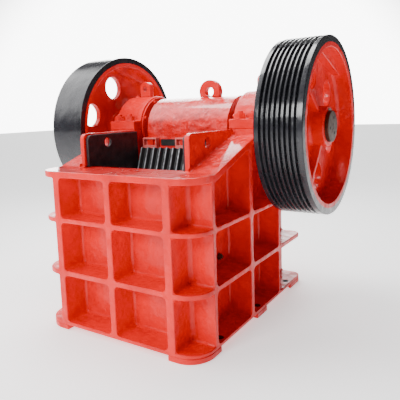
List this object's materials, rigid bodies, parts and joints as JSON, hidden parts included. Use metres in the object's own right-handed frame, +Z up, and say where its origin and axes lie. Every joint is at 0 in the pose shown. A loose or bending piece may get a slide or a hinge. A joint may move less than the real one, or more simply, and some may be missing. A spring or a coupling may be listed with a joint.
{
  "type": "jaw crusher",
  "caption": "Single-toggle jaw crusher: ribbed cast frame with toothed jaws, an eccentric shaft in capped bearings, a flywheel on one side and a grooved belt pulley on the other.",
  "frame": {"origin": "on the floor, in the middle of the machine's overall length and width", "axes": "+X along the eccentric shaft towards the grooved pulley, -Y towards the fixed-jaw end, +Z up"},
  "size_m": [1.748, 1.455, 1.6015],
  "materials": {
    "red_paint": "gloss enamel over rough casting",
    "black_paint": "gloss enamel",
    "manganese_steel": "dark, lightly reflective casting skin",
    "shaft_steel": "oiled, browned",
    "toggle_iron": "rough casting",
    "spring_steel": "oil blackened"
  },
  "bodies": {
    "frame": {"base_flange": "red_paint", "feet": "red_paint", "fixed_jaw_plate": "manganese_steel", "front_centre_ribs": "red_paint", "front_plate": "red_paint", "front_top_flange": "red_paint", "left_bearing_cap": "red_paint", "left_bearing_housing": "red_paint", "left_bearing_saddle": "red_paint", "left_cap_eye": "red_paint", "left_cheek_plate": "manganese_steel", "left_end_covers": "red_paint", "left_side_plate": "red_paint", "left_side_ribs": "red_paint", "left_slope_flange": "red_paint", "lower_belt": "red_paint", "rear_centre_ribs": "red_paint", "rear_plate": "red_paint", "rear_top_flange": "red_paint", "right_bearing_cap": "red_paint", "right_bearing_housing": "red_paint", "right_bearing_saddle": "red_paint", "right_cap_eye": "red_paint", "right_cheek_plate": "manganese_steel", "right_end_covers": "red_paint", "right_side_plate": "red_paint", "right_side_ribs": "red_paint", "right_slope_flange": "red_paint", "tension_rods": "shaft_steel", "tension_springs": "spring_steel", "toggle_block": "red_paint", "toggle_plate": "toggle_iron", "upper_belt": "red_paint"},
    "rotor": {"eccentric_shaft": "shaft_steel", "pulley_rim": "black_paint", "pulley_disc": "red_paint", "pulley_gussets": "red_paint", "flywheel_rim": "black_paint", "flywheel_disc": "red_paint", "flywheel_gussets": "red_paint"},
    "pitman": {"swing_jaw": "red_paint", "swing_jaw_plate": "manganese_steel", "jaw_clamp": "red_paint", "pitman_eye": "red_paint"}
  },
  "joints": [
    {"name": "shaft_spin", "type": "hinge", "parent": "frame", "child": "rotor", "pos_m": [0, 0.2215, 1.0955], "axis": [1, 0, 0], "continuous": true},
    {"name": "pitman_swing", "type": "hinge", "parent": "rotor", "child": "pitman", "pos_m": [0, 0.2215, 1.0835], "axis": [1, 0, 0], "continuous": true}
  ],
  "couplings": [
    {"joint": "pitman_swing", "follows": "shaft_spin", "ratio": -1}
  ]
}
